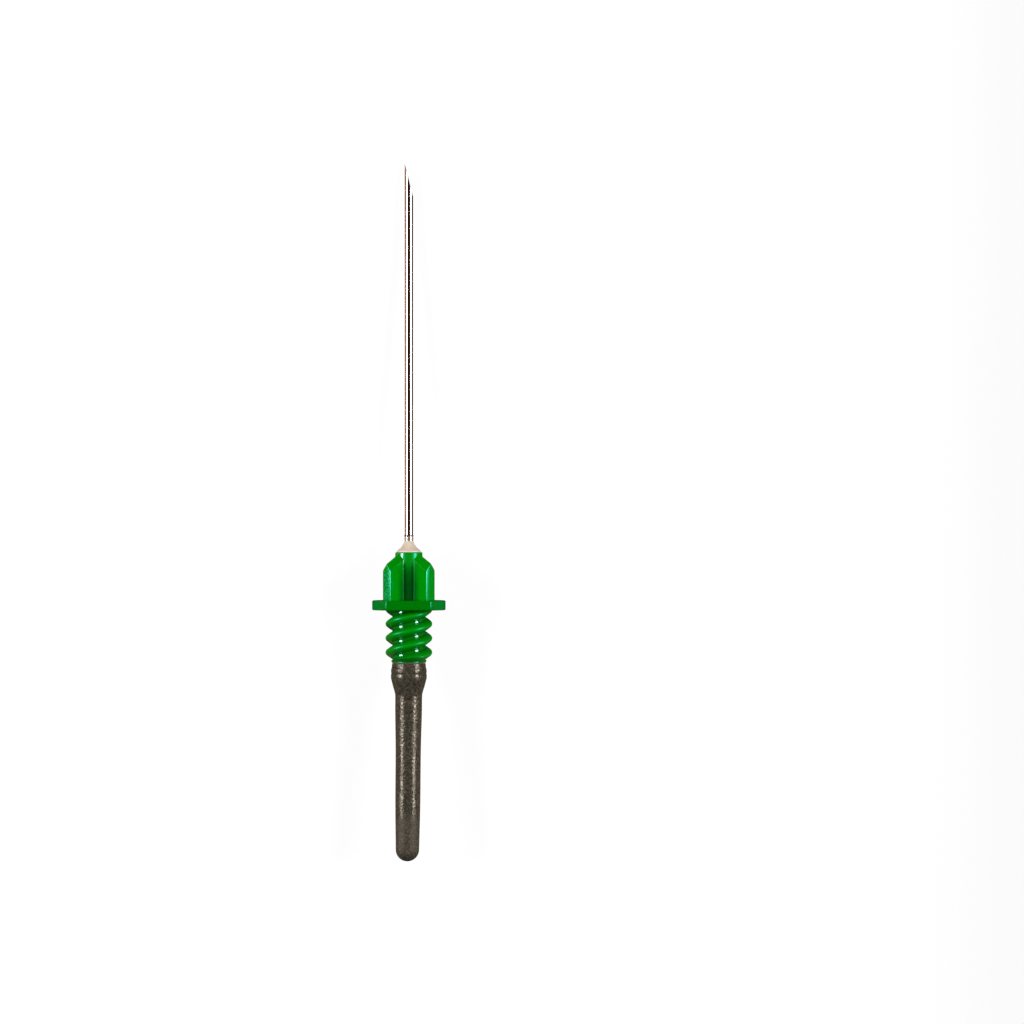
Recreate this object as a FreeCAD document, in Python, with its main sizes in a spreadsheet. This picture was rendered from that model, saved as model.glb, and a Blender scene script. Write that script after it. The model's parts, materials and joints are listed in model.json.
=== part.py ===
# Double-ended blood collection needle, twenty-one gauge by one and a half inches, for a screw-in tube holder.
# Each piece is drawn about the needle's own axis: Z runs towards the point, and z = 0 is the hub's front end.
# Then all of them are laid down together, as the needle comes to rest on a table: on the front edge of one
# flat of its flange and on the side of its point, with the point along +Y.
import FreeCAD
import Part
import Sketcher
import math
import os

ALONG_Z = FreeCAD.Vector(0, 0, 1)

# Lengths in millimetres and angles in degrees.
DIMENSIONS = {
    # steel cannula
    "cannula_diameter": 0.82,
    "cannula_bore": 0.51,
    "front_length": 38.1,
    "rear_length": 17.95,
    "bevel_angle": 14.0,
    "rear_bevel_angle": 20.0,
    "side_grind_angle": 23.5,
    "side_grind_turn": 35.0,
    # hub: nose and its four ribs
    "nose_length": 4.73,
    "nose_diameter": 2.67,
    "nose_edge": 0.1,
    "rib_reach": 3.05,
    "rib_thickness": 1.09,
    "rib_turn": 45.0,
    "rib_set_back": 0.13,
    "rib_descent_angle": 31.0,
    "rib_roof_angle": 45.6,
    # hub: flange
    "flange_thickness": 0.96,
    "flange_diameter": 7.2,
    "flange_across_flats": 5.76,
    "flange_corner": 0.2,
    # hub: holder thread, two starts, right-handed
    "thread_length": 5.14,
    "thread_diameter": 4.6,
    "thread_root_diameter": 3.28,
    "thread_lead": 2.8,
    "thread_crest": 0.34,
    "thread_flank_angle": 34.0,
    "thread_start": 1.81,
    "thread_end_diameter": 3.38,
    "thread_end_band": 0.11,
    "thread_lead_in_angle": 52.0,
    # hub: barbed spigot under the sleeve
    "spigot_length": 3.05,
    "spigot_neck_diameter": 2.24,
    "spigot_neck_length": 0.6,
    "barb_diameter": 2.62,
    "barb_rise": 0.45,
    "barb_land": 0.2,
    # adhesive
    "glue_well_diameter": 1.9,
    "glue_well_depth": 0.5,
    "glue_diameter": 2.4,
    "glue_rim": 0.1,
    "glue_hollow_radius": 1.8,
    "glue_cone_length": 1.1,
    "glue_film_length": 1.66,
    "glue_film": 0.045,
    "glue_gap": 0.01,
    # rubber sleeve
    "sleeve_point_gap": 0.79,
    "sleeve_mouth_diameter": 3.3,
    "sleeve_bulge_diameter": 3.64,
    "sleeve_bulge_reach": 1.2,
    "sleeve_neck_diameter": 2.62,
    "sleeve_neck_reach": 3.05,
    "sleeve_tip_diameter": 2.3,
    "sleeve_bore": 1.8,
    "sleeve_end_wall": 0.75,
    "sleeve_round": 4.0,
    "sleeve_gap": 0.04,
    "sleeve_fit": 0.02,
}

# Places along the axis, each worked out from the sizes.
FLANGE_FRONT = "(-size.nose_length)"
FLANGE_MIDDLE = f"({FLANGE_FRONT} - size.flange_thickness / 2)"
FLANGE_REAR = f"({FLANGE_FRONT} - size.flange_thickness)"
HUB_END = f"({FLANGE_REAR} - size.thread_length)"
SPIGOT_END = f"({HUB_END} - size.spigot_length)"
NECK_END = f"({HUB_END} - size.spigot_neck_length)"
BARB_FRONT = f"({NECK_END} - size.barb_rise)"
BARB_REAR = f"({BARB_FRONT} - size.barb_land)"
SLEEVE_MOUTH = f"({HUB_END} - size.sleeve_gap)"
REAR_POINT = f"({HUB_END} - size.rear_length)"
SLEEVE_FLOOR = f"({REAR_POINT} - size.sleeve_point_gap)"
SLEEVE_END = f"({SLEEVE_FLOOR} - size.sleeve_end_wall)"

# Radii that two pieces share.
CANNULA_R = "(size.cannula_diameter / 2)"
BORE_R = f"({CANNULA_R} + size.glue_gap)"
SLEEVE_BORE_R = "(size.sleeve_bore / 2)"
SPIGOT_TIP_R = f"({SLEEVE_BORE_R} - size.sleeve_fit)"
NECK_R = "(size.spigot_neck_diameter / 2)"
BARB_R = "(size.barb_diameter / 2)"

doc = FreeCAD.newDocument("collection_needle")
sheet = doc.addObject("Spreadsheet::Sheet", "size")
for row, (alias, number) in enumerate(DIMENSIONS.items(), start=1):
    sheet.set(f"A{row}", alias.replace("_", " "))
    sheet.set(f"B{row}", str(number))
    sheet.setAlias(f"B{row}", alias)
doc.recompute()


def value(expression):
    """The number that an expression on the sheet comes to."""
    return float(sheet.evalExpression(expression))


def new_body(name):
    body = doc.addObject("PartDesign::Body", name)
    body.Label = name
    return body


def origin_item(body, role):
    """One of the body's own origin planes or axes."""
    return next(item for item in body.Origin.OriginFeatures if item.Role == role)


def new_sketch(body, name, role, offset=None):
    """An empty sketch on one of the body's own origin planes, shifted or turned by offset."""
    sketch = body.newObject("Sketcher::SketchObject", name)
    sketch.AttachmentSupport = (origin_item(body, role), [""])
    sketch.MapMode = "FlatFace"
    if offset is not None:
        sketch.AttachmentOffset = offset
    return sketch


def bound(sketch, constraint, expression):
    """Adds a constraint whose number follows an expression."""
    index = sketch.addConstraint(constraint)
    sketch.setExpression(f"Constraints[{index}]", expression)


def arc_between(start, end, radius):
    """The short arc from start to end. Its centre is on the left of the way for a radius above zero."""
    chord = end - start
    left = FreeCAD.Vector(-chord.y, chord.x, 0).normalize()
    rise = math.sqrt(radius**2 - (chord.Length / 2) ** 2)
    centre = (start + end) / 2 + left * math.copysign(rise, radius)
    first, last = (start, end) if radius > 0 else (end, start)
    angles = [math.atan2(point.y - centre.y, point.x - centre.x) for point in (first, last)]
    return Part.ArcOfCircle(Part.Circle(centre, ALONG_Z, abs(radius)), *angles)


def outline(sketch, corners):
    """Draws a closed outline. A corner is two expressions, across and along the sketch. A third, where there
    is one, is the radius of the arc that leaves the corner: above zero it turns left, below zero right."""
    points = [FreeCAD.Vector(value(corner[0]), value(corner[1]), 0) for corner in corners]
    ends = []
    for index, corner in enumerate(corners):
        start, end = points[index], points[(index + 1) % len(points)]
        if len(corner) == 3:
            radius = value(corner[2])
            edge = sketch.addGeometry(arc_between(start, end, radius), False)
            ends.append((edge, 1, 2) if radius > 0 else (edge, 2, 1))
        else:
            edge = sketch.addGeometry(Part.LineSegment(start, end), False)
            ends.append((edge, 1, 2))
    for index, (edge, first, last) in enumerate(ends):
        after, after_first, _ = ends[(index + 1) % len(ends)]
        sketch.addConstraint(Sketcher.Constraint("Coincident", edge, last, after, after_first))
    for (edge, first, _), corner, point in zip(ends, corners, points):
        if corner[0] == "0":
            sketch.addConstraint(Sketcher.Constraint("PointOnObject", edge, first, -2))
        else:
            bound(sketch, Sketcher.Constraint("DistanceX", -1, 1, edge, first, point.x), corner[0])
        if corner[1] == "0":
            sketch.addConstraint(Sketcher.Constraint("PointOnObject", edge, first, -1))
        else:
            bound(sketch, Sketcher.Constraint("DistanceY", -1, 1, edge, first, point.y), corner[1])
        if len(corner) == 3:
            radius = corner[2].lstrip("-")
            bound(sketch, Sketcher.Constraint("Radius", edge, value(radius)), radius)


def turned(body, name, corners, kind="PartDesign::Revolution"):
    """A full turn of an outline about the needle's axis, added to the body or, as a Groove, cut from it."""
    sketch = new_sketch(body, f"{name}Outline", "XZ_Plane")
    outline(sketch, corners)
    feature = body.newObject(kind, name)
    feature.Profile = sketch
    feature.ReferenceAxis = (sketch, ["V_Axis"])
    feature.Angle = 360
    doc.recompute()
    return feature


def patterned(body, name, features, copies):
    """Copies of features, evenly spaced about the needle's axis."""
    pattern = body.newObject("PartDesign::PolarPattern", name)
    pattern.Originals = features
    pattern.Axis = (origin_item(body, "Z_Axis"), [""])
    pattern.Angle = 360
    pattern.Occurrences = copies
    body.Tip = pattern
    doc.recompute()
    return pattern


def cut_across(body, name, corners, turn):
    """Cuts an outline, drawn on a plane through the axis and turned about it, right across the cannula."""
    offset = FreeCAD.Placement(FreeCAD.Vector(), FreeCAD.Rotation(FreeCAD.Vector(0, 1, 0), turn))
    sketch = new_sketch(body, f"{name}Outline", "XZ_Plane", offset)
    outline(sketch, corners)
    cut = body.newObject("PartDesign::Pocket", name)
    cut.Profile = sketch
    cut.Midplane = True
    cut.Type = 1
    doc.recompute()
    return cut


def grind_point(body, name, end, way, bevel_angle):
    """A lancet point: one long bevel, then two steeper side facets that meet it at the tip. end is the tip's
    place, and way is + where the point looks forward and - where it looks back."""
    back = "-" if way == "+" else "+"
    clear = "size.cannula_diameter"
    bevel_run = f"({CANNULA_R} + {clear} + {CANNULA_R}) / tan({bevel_angle} * 1deg)"
    cut_across(
        body,
        f"{name}Bevel",
        [
            (f"-{CANNULA_R}", end),
            (f"{CANNULA_R} + {clear}", f"{end} {back} {bevel_run}"),
            (f"{CANNULA_R} + {clear}", f"{end} {way} {clear}"),
            (f"-{CANNULA_R}", f"{end} {way} {clear}"),
        ],
        0,
    )
    facet_foot = f"({CANNULA_R} * cos(size.side_grind_turn * 1deg))"
    facet_run = f"({CANNULA_R} + {clear} + {facet_foot}) / tan(size.side_grind_angle * 1deg)"
    for side, turn in (("Left", 1), ("Right", -1)):
        cut_across(
            body,
            f"{name}{side}Facet",
            [
                (f"-{facet_foot}", end),
                (f"{CANNULA_R} + {clear}", f"{end} {back} {facet_run}"),
                (f"{CANNULA_R} + {clear}", f"{end} {way} {clear}"),
                (f"-{facet_foot}", f"{end} {way} {clear}"),
            ],
            turn * value("size.side_grind_turn"),
        )


def make_cannula():
    """One steel tube, ground to a lancet point at each end."""
    body = new_body("cannula")
    turned(
        body,
        "Tube",
        [
            ("size.cannula_bore / 2", REAR_POINT),
            (CANNULA_R, REAR_POINT),
            (CANNULA_R, "size.front_length"),
            ("size.cannula_bore / 2", "size.front_length"),
        ],
    )
    grind_point(body, "Front", "size.front_length", "+", "size.bevel_angle")
    grind_point(body, "Rear", REAR_POINT, "-", "size.rear_bevel_angle")
    return body


def add_thread(body):
    """The holder thread: a core with two helical ridges, cut square inside the flange and to a cone behind."""
    root_r = "(size.thread_root_diameter / 2)"
    crest_r = "(size.thread_diameter / 2)"
    end_r = "(size.thread_end_diameter / 2)"
    turned(
        body,
        "ThreadCore",
        [
            ("0", HUB_END),
            (root_r, HUB_END),
            (root_r, FLANGE_MIDDLE),
            ("0", FLANGE_MIDDLE),
        ],
    )
    sunk_r = f"({root_r} - size.thread_crest)"
    start = f"({HUB_END} - size.thread_start)"
    half_crest = "(size.thread_crest / 2)"
    flank = "tan(size.thread_flank_angle * 1deg)"
    half_base = f"({half_crest} + ({crest_r} - {root_r}) * {flank})"
    ridge = new_sketch(body, "RidgeOutline", "XZ_Plane")
    outline(
        ridge,
        [
            (sunk_r, f"{start} - {half_base}"),
            (root_r, f"{start} - {half_base}"),
            (crest_r, f"{start} - {half_crest}"),
            (crest_r, f"{start} + {half_crest}"),
            (root_r, f"{start} + {half_base}"),
            (sunk_r, f"{start} + {half_base}"),
        ],
    )
    helix = body.newObject("PartDesign::AdditiveHelix", "Ridge")
    helix.Profile = ridge
    helix.ReferenceAxis = (ridge, ["V_Axis"])
    helix.Mode = 0
    helix.setExpression("Pitch", "size.thread_lead")
    helix.setExpression(
        "Height", "size.thread_start + size.thread_length + size.flange_thickness + size.thread_lead / 2"
    )
    helix.LeftHanded = False
    helix.Reversed = False
    doc.recompute()
    patterned(body, "TwoStarts", [helix], 2)
    clear_r = f"({crest_r} + size.thread_lead)"
    cone_run = f"(({clear_r} - {end_r}) / tan(size.thread_lead_in_angle * 1deg))"
    turned(
        body,
        "ThreadRearEnd",
        [
            ("0", HUB_END),
            (end_r, HUB_END),
            (end_r, f"{HUB_END} + size.thread_end_band"),
            (clear_r, f"{HUB_END} + size.thread_end_band + {cone_run}"),
            (clear_r, f"{start} - 2 * size.thread_lead"),
            ("0", f"{start} - 2 * size.thread_lead"),
        ],
        "PartDesign::Groove",
    )
    turned(
        body,
        "ThreadFrontEnd",
        [
            ("0", FLANGE_MIDDLE),
            (clear_r, FLANGE_MIDDLE),
            (clear_r, f"{FLANGE_FRONT} + 3 * size.thread_lead"),
            ("0", f"{FLANGE_FRONT} + 3 * size.thread_lead"),
        ],
        "PartDesign::Groove",
    )


def add_ribs(body):
    """Four plate ribs along the nose. Each has a roof-shaped top, whose ridge falls away from the nose."""
    turn = value("size.rib_turn")
    half = "(size.rib_thickness / 2)"
    chord = f"(sqrt(size.rib_reach * size.rib_reach - {half} * {half}))"
    flat_turn = FreeCAD.Rotation(ALONG_Z, turn)
    foot = FreeCAD.Vector(0, 0, value(FLANGE_MIDDLE))
    plan = new_sketch(body, "RibOutline", "XY_Plane", FreeCAD.Placement(foot, flat_turn))
    outline(
        plan,
        [
            ("0", f"-{half}"),
            (chord, f"-{half}", "size.rib_reach"),
            (chord, half),
            ("0", half),
        ],
    )
    rib = body.newObject("PartDesign::Pad", "Rib")
    rib.Profile = plan
    rib.setExpression("Length", f"-{FLANGE_MIDDLE}")
    doc.recompute()

    descent = value("size.rib_descent_angle")
    fall = "tan(size.rib_descent_angle * 1deg)"
    ridge_at_axis = value(f"size.nose_diameter / 2 * {fall} - size.rib_set_back")
    lean = FreeCAD.Rotation(FreeCAD.Vector(0, 1, 0), turn).multiply(
        FreeCAD.Rotation(FreeCAD.Vector(1, 0, 0), descent)
    )
    offset = FreeCAD.Placement(FreeCAD.Vector(0, ridge_at_axis, 0), lean)
    roof = new_sketch(body, "RoofOutline", "YZ_Plane", offset)
    eave = "size.rib_thickness"
    drop = f"({eave} * tan(size.rib_roof_angle * 1deg))"
    outline(
        roof,
        [
            ("0", "0"),
            (eave, f"-{drop}"),
            (eave, "size.nose_length"),
            (f"-{eave}", "size.nose_length"),
            (f"-{eave}", f"-{drop}"),
        ],
    )
    cut = body.newObject("PartDesign::Pocket", "Roof")
    cut.Profile = roof
    cut.Reversed = True
    cut.setExpression("Length", "2 * size.rib_reach")
    doc.recompute()
    patterned(body, "FourRibs", [rib, cut], 4)


def edges_where(feature, test):
    """The names of a feature's edges whose middle passes a test."""
    names = []
    for number, edge in enumerate(feature.Shape.Edges, start=1):
        middle = edge.valueAt((edge.FirstParameter + edge.LastParameter) / 2)
        if test(edge, middle):
            names.append(f"Edge{number}")
    return names


def add_flange(body):
    """The nose and the flange in one turn, then the flange's two flats with rounded corners."""
    nose_r = "(size.nose_diameter / 2)"
    turned(
        body,
        "NoseAndFlange",
        [
            ("0", FLANGE_REAR),
            ("size.flange_diameter / 2", FLANGE_REAR),
            ("size.flange_diameter / 2", FLANGE_FRONT),
            (nose_r, FLANGE_FRONT),
            (nose_r, "-size.nose_edge", "size.nose_edge"),
            (f"{nose_r} - size.nose_edge", "0"),
            ("0", "0"),
        ],
    )
    flat = "(size.flange_across_flats / 2)"
    reach = "size.flange_diameter"
    plan = new_sketch(body, "FlatOutline", "XY_Plane")
    plan.setExpression("AttachmentOffset.Base.z", FLANGE_FRONT)
    outline(
        plan,
        [
            (f"-{reach}", flat),
            (reach, flat),
            (reach, reach),
            (f"-{reach}", reach),
        ],
    )
    cut = body.newObject("PartDesign::Pocket", "Flat")
    cut.Profile = plan
    cut.setExpression("Length", "size.flange_thickness")
    doc.recompute()
    flats = patterned(body, "TwoFlats", [cut], 2)
    rounding = body.newObject("PartDesign::Fillet", "FlangeCorners")
    rounding.Base = (
        flats,
        edges_where(
            flats,
            lambda edge, middle: abs(edge.tangentAt(edge.FirstParameter).z) > 0.999
            and abs(abs(middle.y) - value(flat)) < 0.001
            and abs(middle.z - value(FLANGE_MIDDLE)) < 0.001,
        ),
    )
    rounding.setExpression("Radius", "size.flange_corner")
    doc.recompute()


def make_hub():
    """One moulding: nose with ribs, flange, holder thread and barbed spigot, bored for the cannula."""
    body = new_body("hub")
    add_thread(body)
    add_ribs(body)
    add_flange(body)
    turned(
        body,
        "Spigot",
        [
            ("0", HUB_END),
            (NECK_R, HUB_END),
            (NECK_R, NECK_END),
            (BARB_R, BARB_FRONT),
            (BARB_R, BARB_REAR),
            (SPIGOT_TIP_R, SPIGOT_END),
            ("0", SPIGOT_END),
        ],
    )
    beyond = "size.spigot_length"
    turned(
        body,
        "BoreAndGlueWell",
        [
            ("0", beyond),
            ("size.glue_well_diameter / 2", beyond),
            ("size.glue_well_diameter / 2", "-size.glue_well_depth"),
            (BORE_R, "-size.glue_well_depth"),
            (BORE_R, f"{SPIGOT_END} - {beyond}"),
            ("0", f"{SPIGOT_END} - {beyond}"),
        ],
        "PartDesign::Groove",
    )
    return body


def make_adhesive():
    """The set glue: it fills the well, climbs the cannula in a hollow cone and ends in a thin film."""
    body = new_body("adhesive")
    well_r = "(size.glue_well_diameter / 2 - size.glue_gap)"
    well_floor = "(size.glue_gap - size.glue_well_depth)"
    film_r = f"({BORE_R} + size.glue_film)"
    turned(
        body,
        "Glue",
        [
            (BORE_R, well_floor),
            (well_r, well_floor),
            (well_r, "0"),
            ("size.glue_diameter / 2", "0"),
            ("size.glue_diameter / 2", "size.glue_rim", "-size.glue_hollow_radius"),
            (film_r, "size.glue_cone_length"),
            (film_r, "size.glue_film_length"),
            (BORE_R, "size.glue_film_length"),
        ],
    )
    return body


def make_sleeve():
    """The soft rubber sleeve: closed behind, stretched over the barb in front, and clear of the rear point."""
    body = new_body("rubber_sleeve")
    bulge = f"({SLEEVE_MOUTH} - size.sleeve_bulge_reach)"
    neck = f"({SLEEVE_MOUTH} - size.sleeve_neck_reach)"
    tip_r = "(size.sleeve_tip_diameter / 2)"
    tube = turned(
        body,
        "SleeveTube",
        [
            (f"{NECK_R} + size.sleeve_fit", SLEEVE_MOUTH),
            ("size.sleeve_mouth_diameter / 2", SLEEVE_MOUTH),
            ("size.sleeve_bulge_diameter / 2", bulge),
            ("size.sleeve_neck_diameter / 2", neck),
            (tip_r, f"{SLEEVE_END} + {tip_r}", f"-{tip_r}"),
            ("0", SLEEVE_END),
            ("0", SLEEVE_FLOOR, SLEEVE_BORE_R),
            (SLEEVE_BORE_R, f"{SLEEVE_FLOOR} + {SLEEVE_BORE_R}"),
            (SLEEVE_BORE_R, SPIGOT_END),
            (f"{BARB_R} + size.sleeve_fit", BARB_REAR),
            (f"{BARB_R} + size.sleeve_fit", BARB_FRONT),
            (f"{NECK_R} + size.sleeve_fit", NECK_END),
        ],
    )
    rounding = body.newObject("PartDesign::Fillet", "SleeveRounding")
    rounding.Base = (
        tube,
        edges_where(
            tube,
            lambda edge, middle: abs(math.hypot(middle.x, middle.y) - value("size.sleeve_bulge_diameter / 2")) < 0.001
            or (
                abs(math.hypot(middle.x, middle.y) - value("size.sleeve_neck_diameter / 2")) < 0.001
                and abs(middle.z - value(neck)) < 0.001
            ),
        ),
    )
    rounding.setExpression("Radius", "size.sleeve_round")
    doc.recompute()
    return body


def laid_down():
    """The placement that lays the needle on a table. It rests on the front edge of the flange's lower flat and
    on the rim of the front bevel. From the side that rim is an ellipse, and the table is a tangent to it."""
    height = value("size.flange_across_flats / 2")
    rim_height = value(CANNULA_R)
    rim_length = value(f"{CANNULA_R} / tan(size.bevel_angle * 1deg)")
    reach = value(f"size.front_length - {FLANGE_FRONT}") - rim_length
    spread = reach**2 - rim_length**2
    root = math.sqrt((height * reach) ** 2 - spread * (height**2 - rim_height**2))
    dip = math.degrees(math.atan((height * reach - root) / spread))
    turn = FreeCAD.Rotation(FreeCAD.Vector(1, 0, 0), -90 - dip)
    contact = turn.multVec(FreeCAD.Vector(0, height, value(FLANGE_FRONT)))
    tip = turn.multVec(FreeCAD.Vector(0, 0, value("size.front_length")))
    end = turn.multVec(FreeCAD.Vector(0, 0, value(SLEEVE_END)))
    return FreeCAD.Placement(FreeCAD.Vector(0, -(tip.y + end.y) / 2, -contact.z), turn)


PIECES = [make_cannula(), make_hub(), make_adhesive(), make_sleeve()]
for piece in PIECES:
    piece.Placement = laid_down()
doc.recompute()

for item in doc.Objects:
    if "Invalid" in item.State or "Error" in item.State:
        raise RuntimeError(f"{item.Name} can't be worked out: {item.State}")
for piece in PIECES:
    if piece.Shape.isNull() or not piece.Shape.isValid() or len(piece.Shape.Solids) != 1:
        raise RuntimeError(f"{piece.Label} isn't one valid solid")

os.makedirs("parts", exist_ok=True)
for piece in PIECES:
    piece.Shape.exportStep(f"parts/{piece.Label}.step")
    box = piece.Shape.optimalBoundingBox()
    print(
        f"{piece.Label}: {piece.Shape.Volume:.3f} mm3, "
        f"X {box.XMin:.3f} to {box.XMax:.3f}, Y {box.YMin:.3f} to {box.YMax:.3f}, Z {box.ZMin:.3f} to {box.ZMax:.3f}"
    )
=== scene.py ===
"""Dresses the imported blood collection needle. Every piece is made about the needle's own axis in millimetres,
z = 0 at the hub's front end and the point at plus z, and is then laid where the frame has the needle."""

import json
import math

import bmesh
import bpy
from bpy.props import FloatProperty, FloatVectorProperty, PointerProperty
from mathutils import Matrix, Vector, noise


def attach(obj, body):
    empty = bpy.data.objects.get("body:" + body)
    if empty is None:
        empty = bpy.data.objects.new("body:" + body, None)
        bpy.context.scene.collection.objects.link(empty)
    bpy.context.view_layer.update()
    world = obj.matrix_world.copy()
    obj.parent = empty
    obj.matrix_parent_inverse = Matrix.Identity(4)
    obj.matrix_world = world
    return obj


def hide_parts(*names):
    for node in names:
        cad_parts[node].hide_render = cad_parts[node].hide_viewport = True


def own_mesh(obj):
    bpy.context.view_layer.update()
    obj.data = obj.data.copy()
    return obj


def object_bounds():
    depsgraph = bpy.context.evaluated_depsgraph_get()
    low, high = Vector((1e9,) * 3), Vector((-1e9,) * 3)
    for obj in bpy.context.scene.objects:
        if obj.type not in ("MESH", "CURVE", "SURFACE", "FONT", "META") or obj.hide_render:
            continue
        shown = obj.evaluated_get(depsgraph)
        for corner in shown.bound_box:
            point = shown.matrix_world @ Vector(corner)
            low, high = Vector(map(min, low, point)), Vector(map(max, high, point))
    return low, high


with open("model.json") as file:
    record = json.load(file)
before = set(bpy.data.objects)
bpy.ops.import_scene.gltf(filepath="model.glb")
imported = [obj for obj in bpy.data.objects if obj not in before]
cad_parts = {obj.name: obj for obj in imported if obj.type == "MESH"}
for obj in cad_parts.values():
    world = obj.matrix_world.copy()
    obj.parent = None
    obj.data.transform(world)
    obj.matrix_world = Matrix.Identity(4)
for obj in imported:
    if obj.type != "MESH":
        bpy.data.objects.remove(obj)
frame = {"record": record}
CAD_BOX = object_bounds()

bl_info = {
    "name": "Blood collection needle",
    "version": (1, 0, 0),
    "blender": (4, 5, 0),
    "location": "3D View > Sidebar > Needle",
    "description": "Builds a double-ended blood collection needle and the stage that it lies on",
    "category": "Object",
}

MM = 0.001
BODY = "needle"
PUSH_BACK = "sleeve_push_back"
MOUNTS = {mount["name"]: mount for mount in frame["record"]["mounts"]}
JOINTS = {joint["name"]: joint for joint in frame["record"]["behaviour"]["joints"]}
UP_AXIS = Vector((0, 0, 1))
ROUND_STEPS = 96  # facets round a turned shape
TUBE_STEPS = 128  # facets round the cannula
RIB_STEPS = 144  # facets round the ribs' outer ends
FLANGE_STEPS = 192  # facets round the flange
THREAD_STEPS = 160  # facets in one turn of the thread
LEAD_IN_STEPS = 151  # unlike the thread's, because edges that lie on each other spoil the cut
ARC_STEPS = 8  # facets along a quarter of a rounded end
BOOLEAN_WELD = 0.0005  # how far apart points lie that a Boolean left double, in millimetres
ROUNDED_WELD = 0.002  # the same for points that rounding left double
FLAT = math.radians(0.5)  # neighbouring faces that turn less than this are joined


def linear(hex_colour, alpha=1.0):
    """The linear colour of an sRGB hex value."""
    parts = [int(hex_colour[i : i + 2], 16) / 255 for i in (1, 3, 5)]
    return (*(c / 12.92 if c <= 0.04045 else ((c + 0.055) / 1.055) ** 2.4 for c in parts), alpha)


def length(name, description, millimetres):
    """A length that the user can change."""
    return FloatProperty(
        name=name, description=description, default=millimetres * MM, min=0.0, precision=5, unit="LENGTH"
    )


def angle(name, description, degrees):
    """An angle that the user can change."""
    return FloatProperty(name=name, description=description, default=math.radians(degrees), unit="ROTATION")


def colour(name, description, hex_colour):
    """A colour that the user can change."""
    return FloatVectorProperty(
        name=name, description=description, default=linear(hex_colour), size=4, min=0.0, max=1.0,
        subtype="COLOR",
    )


class NeedleCannulaSettings(bpy.types.PropertyGroup):
    """Sizes and colours of the steel tube."""

    outside: length("Outside diameter", "Outside diameter of the tube, 21 gauge", 0.82)
    inside: length("Bore", "Diameter of the hole through the tube", 0.51)
    front: length("Front length", "From the hub's front end to the tip", 38.1)
    rear: length("Rear length", "From the hub's rear end to the rear tip", 17.95)
    bevel: angle("Front bevel", "Angle of the long front bevel to the axis", 14.0)
    rear_bevel: angle("Rear bevel", "Angle of the long rear bevel to the axis", 20.0)
    facet: angle("Side grind", "Angle of the two side facets to the axis", 23.5)
    facet_turn: angle("Side grind turn", "How far round the axis each side facet is turned", 35.0)
    steel: colour("Steel", "Colour of the drawn tube", "#c8c5c0")
    ground: colour("Ground steel", "Colour of the ground facets", "#6c6864")


class NeedleHubSettings(bpy.types.PropertyGroup):
    """Sizes of the green moulding."""

    nose: length("Nose length", "From the front end to the flange", 4.73)
    nose_diameter: length("Nose diameter", "Diameter of the nose", 2.67)
    nose_edge: length("Nose edge", "Rounding of the nose's front edge", 0.12)
    rib_reach: length("Rib reach", "From the axis to a rib's outer end", 3.05)
    rib_thickness: length("Rib thickness", "Thickness of each of the four ribs", 1.09)
    rib_set_back: length("Rib set-back", "How far behind the front end a rib's top starts", 0.13)
    rib_descent: angle("Rib descent", "Fall of a rib's top from the nose outwards", 31.0)
    rib_roof: angle("Rib roof", "Fall of a rib's top to either side of its middle", 45.6)
    rib_edge: length("Rib edge", "Rounding of a rib's edges", 0.06)
    rib_corner: length("Rib corner", "Rounding of a rib's outer top edges", 0.2)
    flange: length("Flange thickness", "Thickness of the flange", 0.96)
    flange_diameter: length("Flange diameter", "Diameter of the flange", 7.2)
    flange_flats: length("Flange flats", "Distance between the flange's two flats", 5.76)
    flange_corner: length("Flange corner", "Rounding of the flats' upright edges", 0.2)
    flange_edge: length("Flange edge", "Rounding of the flange's rims", 0.15)
    thread: length("Thread length", "From the flange to the rear end", 5.14)
    crest_diameter: length("Thread diameter", "Diameter over the thread's crests", 4.58)
    root_diameter: length("Thread root", "Diameter at the thread's roots", 3.24)
    lead: length("Thread lead", "Advance of one of the two threads in a turn", 2.8)
    knee_diameter: length("Knee diameter", "Diameter where a ridge's flank bends", 3.7)
    crest: length("Crest width", "Width of a ridge at its crest before rounding", 0.28)
    knee: length("Knee width", "Width of a ridge where its flank bends", 0.92)
    ridge_foot: length("Ridge foot", "Width of a ridge at the root", 1.12)
    crest_round: length("Crest rounding", "Rounding of the crest's edges", 0.13)
    knee_round: length("Knee rounding", "Rounding of the bend in a flank", 0.12)
    root_round: length("Root rounding", "Rounding of the root's edges", 0.06)
    end_diameter: length("Thread end", "Diameter of the thread's rear end", 3.38)
    end_band: length("Thread end band", "Length of the plain band at the rear end", 0.11)
    lead_in: angle("Lead-in", "Half angle of the lead-in cone", 52.0)
    thread_start: length("Thread start", "From the rear end back to the first crest on the +X side", 1.81)
    spigot: length("Spigot length", "Length of the barbed spigot under the sleeve", 3.05)
    neck_diameter: length("Spigot neck", "Diameter of the spigot's neck", 2.24)
    neck: length("Neck length", "Length of the spigot's neck", 0.6)
    barb_diameter: length("Barb diameter", "Diameter of the barb", 2.62)
    barb_rise: length("Barb rise", "Length of the barb's rise", 0.45)
    barb_land: length("Barb land", "Length of the barb's widest band", 0.2)
    spigot_tip: length("Spigot tip", "Diameter of the spigot's end", 1.76)
    bore: length("Bore", "Diameter of the bore for the cannula", 0.84)
    well_diameter: length("Glue well", "Diameter of the glue well", 1.9)
    well: length("Glue well depth", "Depth of the glue well", 0.5)


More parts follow.
